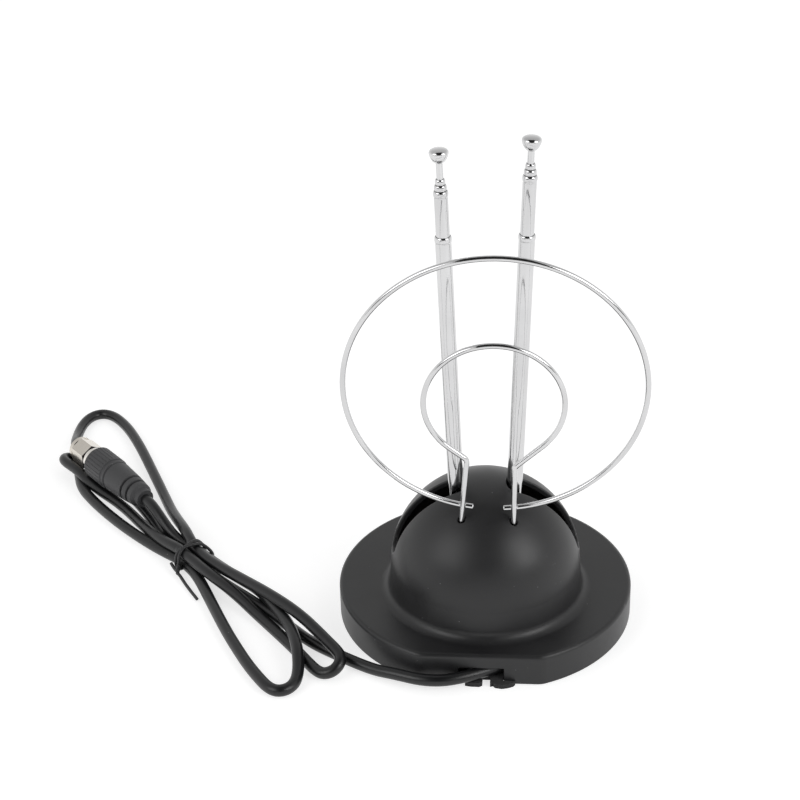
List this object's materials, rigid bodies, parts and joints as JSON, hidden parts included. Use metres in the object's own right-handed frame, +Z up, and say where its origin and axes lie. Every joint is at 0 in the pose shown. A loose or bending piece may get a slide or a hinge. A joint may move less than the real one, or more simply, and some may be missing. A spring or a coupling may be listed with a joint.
{
  "type": "indoor tv antenna",
  "caption": "Indoor TV antenna: slotted dome on a round base, telescopic ears, wire loops, tied coax lead with screw-on plug.",
  "frame": {"origin": "on the table, under the centre of the round base", "axes": "+Z up from the table; -Y towards the base's flat edge, where the cable leaves; +X to the right when facing that edge"},
  "size_m": [0.2589, 0.2287, 0.2085],
  "materials": {
    "black_shell": "fine satin moulding",
    "inner_plastic": "natural moulding",
    "chrome_rod": "bright plated",
    "chrome_wire": "bright plated",
    "steel_plate": "zinc plated",
    "steel_screw": "zinc plated",
    "soft_pad": "closed-cell foam sheet",
    "brass_part": "bright",
    "board": "phenolic board",
    "ferrite": "matt",
    "washer_fibre": "vulcanised fibre",
    "wire_jacket": "thin sleeve",
    "cable_jacket": "satin jacket",
    "tie_jacket": "coated wire",
    "plug_boot": "soft moulding",
    "nickel": "nickel plated",
    "dielectric": "natural"
  },
  "bodies": {
    "base": {"base_shell": "black_shell", "ballast_plate": "steel_plate", "bottom_pad": "soft_pad", "plate_screws": "steel_screw", "inner_frame": "inner_plastic", "left_loop_socket": "brass_part", "right_loop_socket": "brass_part", "outer_loop": "chrome_wire", "inner_loop": "chrome_wire", "balun_board": "board", "balun_core": "ferrite", "board_screws": "steel_screw", "coax_tail": "dielectric", "cable_clip": "inner_plastic", "clip_screw": "steel_screw", "cable_lead": "cable_jacket", "cable_hank": "cable_jacket", "twist_tie": "tie_jacket", "plug_boot": "plug_boot", "plug_ferrule": "nickel", "plug_core": "dielectric", "plug_pin": "brass_part", "left_pivot_screw": "steel_screw", "left_pivot_nut": "steel_screw", "left_friction_washer": "washer_fibre", "left_solder_tag": "brass_part", "left_ear_wire": "wire_jacket", "left_loop_wire": "wire_jacket", "right_pivot_screw": "steel_screw", "right_pivot_nut": "steel_screw", "right_friction_washer": "washer_fibre", "right_solder_tag": "brass_part", "right_ear_wire": "wire_jacket", "right_loop_wire": "wire_jacket"},
    "left_ear": {"left_ear_knuckle": "brass_part", "left_rod_section_1": "chrome_rod"},
    "left_rod_2": {"left_rod_section_2": "chrome_rod"},
    "left_rod_3": {"left_rod_section_3": "chrome_rod"},
    "left_rod_4": {"left_rod_section_4": "chrome_rod"},
    "left_rod_5": {"left_rod_section_5": "chrome_rod", "left_rod_tip": "chrome_rod"},
    "right_ear": {"right_ear_knuckle": "brass_part", "right_rod_section_1": "chrome_rod"},
    "right_rod_2": {"right_rod_section_2": "chrome_rod"},
    "right_rod_3": {"right_rod_section_3": "chrome_rod"},
    "right_rod_4": {"right_rod_section_4": "chrome_rod"},
    "right_rod_5": {"right_rod_section_5": "chrome_rod", "right_rod_tip": "chrome_rod"},
    "plug_nut": {"plug_nut": "nickel"}
  },
  "joints": [
    {"name": "left_ear_tilt", "type": "hinge", "parent": "base", "child": "left_ear", "pos_m": [-0.0104, -0.006, 0.024], "axis": [0, -1, 0], "range_deg": [0, 63]},
    {"name": "left_rod_2_slide", "type": "slide", "parent": "left_ear", "child": "left_rod_2", "axis": [-0.0358, 0, 0.9994], "range_m": [-0.0159, 0.0998]},
    {"name": "left_rod_3_slide", "type": "slide", "parent": "left_rod_2", "child": "left_rod_3", "axis": [-0.0358, 0, 0.9994], "range_m": [0, 0.1117]},
    {"name": "left_rod_4_slide", "type": "slide", "parent": "left_rod_3", "child": "left_rod_4", "axis": [-0.0358, 0, 0.9994], "range_m": [0, 0.1077]},
    {"name": "left_rod_5_slide", "type": "slide", "parent": "left_rod_4", "child": "left_rod_5", "axis": [-0.0358, 0, 0.9994], "range_m": [-0.0062, 0.1017]},
    {"name": "right_ear_tilt", "type": "hinge", "parent": "base", "child": "right_ear", "pos_m": [0.0104, -0.006, 0.024], "axis": [0, 1, 0], "range_deg": [0, 63]},
    {"name": "right_rod_2_slide", "type": "slide", "parent": "right_ear", "child": "right_rod_2", "axis": [0.0358, 0, 0.9994], "range_m": [-0.0212, 0.0945]},
    {"name": "right_rod_3_slide", "type": "slide", "parent": "right_rod_2", "child": "right_rod_3", "axis": [0.0358, 0, 0.9994], "range_m": [0, 0.1117]},
    {"name": "right_rod_4_slide", "type": "slide", "parent": "right_rod_3", "child": "right_rod_4", "axis": [0.0358, 0, 0.9994], "range_m": [0, 0.1077]},
    {"name": "right_rod_5_slide", "type": "slide", "parent": "right_rod_4", "child": "right_rod_5", "axis": [0.0358, 0, 0.9994], "range_m": [-0.0049, 0.103]},
    {"name": "plug_nut_spin", "type": "hinge", "parent": "base", "child": "plug_nut", "pos_m": [-0.1797, 0.10897, 0.01255], "axis": [-0.6088, 0.7934, 0], "continuous": true}
  ]
}
